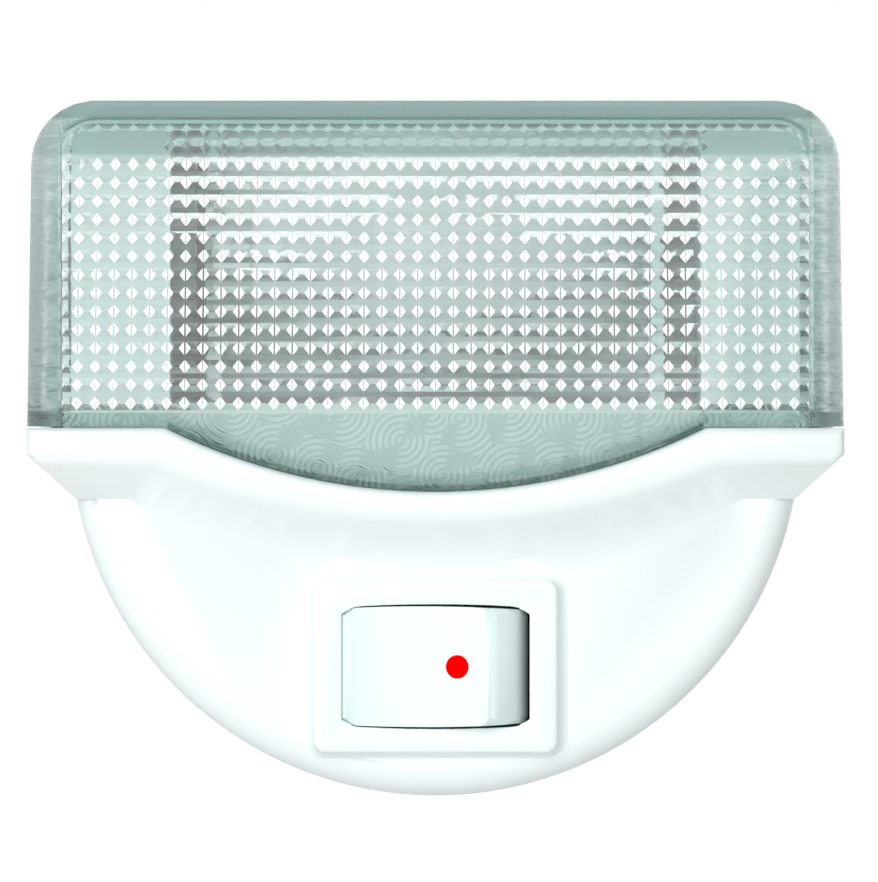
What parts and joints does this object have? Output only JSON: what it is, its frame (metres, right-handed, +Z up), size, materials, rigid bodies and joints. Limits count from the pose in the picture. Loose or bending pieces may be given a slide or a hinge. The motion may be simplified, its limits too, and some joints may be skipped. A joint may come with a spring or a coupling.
{
  "type": "plug-in night light",
  "caption": "Plug-in night light: wide clear prismatic lens over a horizontal lamp, scooped lip and half-round white case with a rocker switch, flat plug blades behind.",
  "frame": {"origin": "on the face that lies against the wall, midway between the two plug blades", "axes": "+Z up, +Y towards the wall (the way the blades point), +X to the right of someone facing the light; the light faces -Y"},
  "size_m": [0.072, 0.048, 0.0613],
  "materials": {
    "case_white": "satin moulded white",
    "lens_clear": "clear moulded plastic with a prismatic inner face",
    "tray_white": "matt white",
    "rocker_white": "satin moulded white",
    "dot_red": "glossy red",
    "frame_black": "matt moulded black",
    "brass": "rolled sheet brass",
    "blade_brass": "rolled and tumbled brass",
    "spring_steel": "drawn wire",
    "rivet_steel": "tinned steel",
    "fibre": "pressed fibre sheet",
    "socket_white": "moulded ivory white",
    "bulb_glass": "clear glass",
    "lead_wire": "drawn wire",
    "filament": "dark coiled wire",
    "base_nickel": "nickelled rolled shell",
    "base_black": "black glass",
    "solder": "solder",
    "screw_steel": "zinc plated"
  },
  "bodies": {
    "housing": {"back_housing": "case_white", "front_cover": "case_white", "reflector": "tray_white", "switch_frame": "frame_black", "common_terminal": "brass", "lamp_terminal": "brass", "hot_blade": "blade_brass", "neutral_blade": "blade_brass", "hot_strip": "brass", "neutral_strip": "brass", "lamp_strip": "brass", "strip_rivets": "rivet_steel", "insulating_barrier": "fibre", "socket_body": "socket_white", "socket_shell": "brass", "centre_contact": "brass", "case_screws": "screw_steel"},
    "lens": {"lens": "lens_clear"},
    "bulb": {"bulb_glass": "bulb_glass", "bulb_stem": "bulb_glass", "bulb_lead_wires": "lead_wire", "bulb_filament": "filament", "base_shell": "base_nickel", "base_insulator": "base_black", "base_contact": "solder"},
    "rocker": {"rocker": "rocker_white", "rocker_dot": "dot_red", "plunger_spring": "spring_steel"},
    "plunger": {"plunger": "brass"},
    "contact_plate": {"seesaw_contact": "brass"}
  },
  "joints": [
    {"name": "lens_lift", "type": "slide", "parent": "housing", "child": "lens", "axis": [0, 0, 1], "range_m": [0, 0.038]},
    {"name": "bulb_turn", "type": "hinge", "parent": "housing", "child": "bulb", "pos_m": [0, -0.01635, 0.02365], "axis": [1, 0, 0], "range_deg": [0, 900]},
    {"name": "rocker_tilt", "type": "hinge", "parent": "housing", "child": "rocker", "pos_m": [0, -0.01935, -0.012], "axis": [0, 0, 1], "range_deg": [0, 17.5]},
    {"name": "plunger_slide", "type": "slide", "parent": "rocker", "child": "plunger", "axis": [-0.1521, -0.9884, 0], "range_m": [0, 0.0006], "stiffness_N_per_m": 100, "springref_m": -0.001, "deforming": ["plunger_spring"]},
    {"name": "plate_tilt", "type": "hinge", "parent": "housing", "child": "contact_plate", "pos_m": [0, -0.0153, -0.012], "axis": [0, 0, 1], "range_deg": [-20, 0]}
  ],
  "couplings": [
    {"joint": "plate_tilt", "follows": "rocker_tilt", "ratio": -1.1429}
  ]
}
